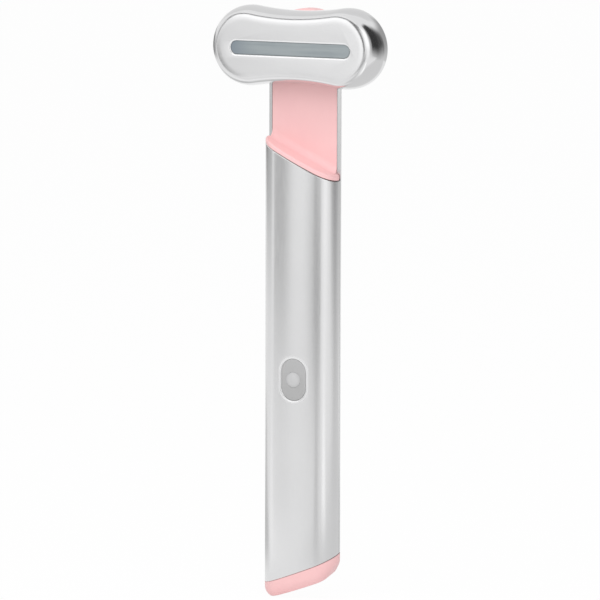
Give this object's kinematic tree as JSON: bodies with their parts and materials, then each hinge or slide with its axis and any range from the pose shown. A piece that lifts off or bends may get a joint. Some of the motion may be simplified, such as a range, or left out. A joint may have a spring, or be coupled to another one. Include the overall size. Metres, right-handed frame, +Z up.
{
  "type": "heated eye massager wand",
  "caption": "Slim oval metal handle with slanted pink ends and a push button, carrying a waisted swivelling treatment head with a long light window.",
  "frame": {"origin": "under the middle of the upright wand, level with its lowest point", "axes": "+Z up along the handle to the head, -Y out of the treatment face, +X to the right of someone facing it"},
  "size_m": [0.0488, 0.0142, 0.1552],
  "materials": {
    "handle_metal": "satin anodised, fine lengthwise grain",
    "head_metal": "satin face, polished flank",
    "pink_plastic": "soft satin moulding",
    "seal_rubber": "matte",
    "white_plastic": "moulded",
    "battery_wrap": "shrink film",
    "foam_tape": "closed-cell foam",
    "wire_red": "insulated wire",
    "wire_black": "insulated wire",
    "board_green": "solder mask",
    "board_white": "white solder mask",
    "bright_steel": "plated",
    "weight_metal": "sintered tungsten",
    "chip_black": "moulded",
    "passive_tan": "ceramic",
    "button_grey": "satin",
    "lens_white": "translucent",
    "led_clear": "clear resin",
    "window_frosted": "frosted translucent",
    "heater_amber": "polyimide film"
  },
  "bodies": {
    "handle": {"handle_shell": "handle_metal", "neck_cover": "pink_plastic", "neck_top_cap": "pink_plastic", "bottom_cap": "pink_plastic", "upper_seal": "seal_rubber", "lower_seal": "seal_rubber", "inner_carrier": "white_plastic", "battery": "battery_wrap", "battery_pads": "foam_tape", "battery_leads": "wire_red", "main_board": "board_green", "board_screws": "bright_steel", "carrier_screws": "bright_steel", "control_chip": "chip_black", "charge_chip": "chip_black", "power_inductor": "chip_black", "board_passives": "passive_tan", "tact_switch": "chip_black", "button_guide": "white_plastic", "power_indicator": "led_clear", "charge_socket": "bright_steel", "socket_tongue": "chip_black", "swivel_bush": "white_plastic", "friction_washer": "white_plastic", "wave_washer": "bright_steel", "head_harness": "wire_black"},
    "button": {"power_button": "button_grey", "button_lens": "lens_white", "switch_plunger": "white_plastic"},
    "head": {"head_front_shell": "head_metal", "light_window": "window_frosted", "heater_film": "heater_amber", "head_back_cover": "head_metal", "led_board": "board_white", "red_leds": "led_clear", "thermistor": "passive_tan", "head_connector": "white_plastic", "motor_body": "bright_steel", "motor_boot": "seal_rubber", "swivel_hub": "bright_steel", "hub_screws": "bright_steel", "hub_clip": "bright_steel"},
    "weight": {"eccentric_weight": "weight_metal"}
  },
  "joints": [
    {"name": "button_press", "type": "slide", "parent": "handle", "child": "button", "axis": [0, 1, 0], "range_m": [0, 0.00035], "stiffness_N_per_m": 1500},
    {"name": "head_swivel", "type": "hinge", "parent": "handle", "child": "head", "pos_m": [0, 0, 0.14468], "axis": [0, -1, 0], "range_deg": [-90, 90]},
    {"name": "motor_spin", "type": "hinge", "parent": "head", "child": "weight", "pos_m": [0.0115, -0.00237, 0.13898], "axis": [1, 0, 0], "continuous": true}
  ]
}
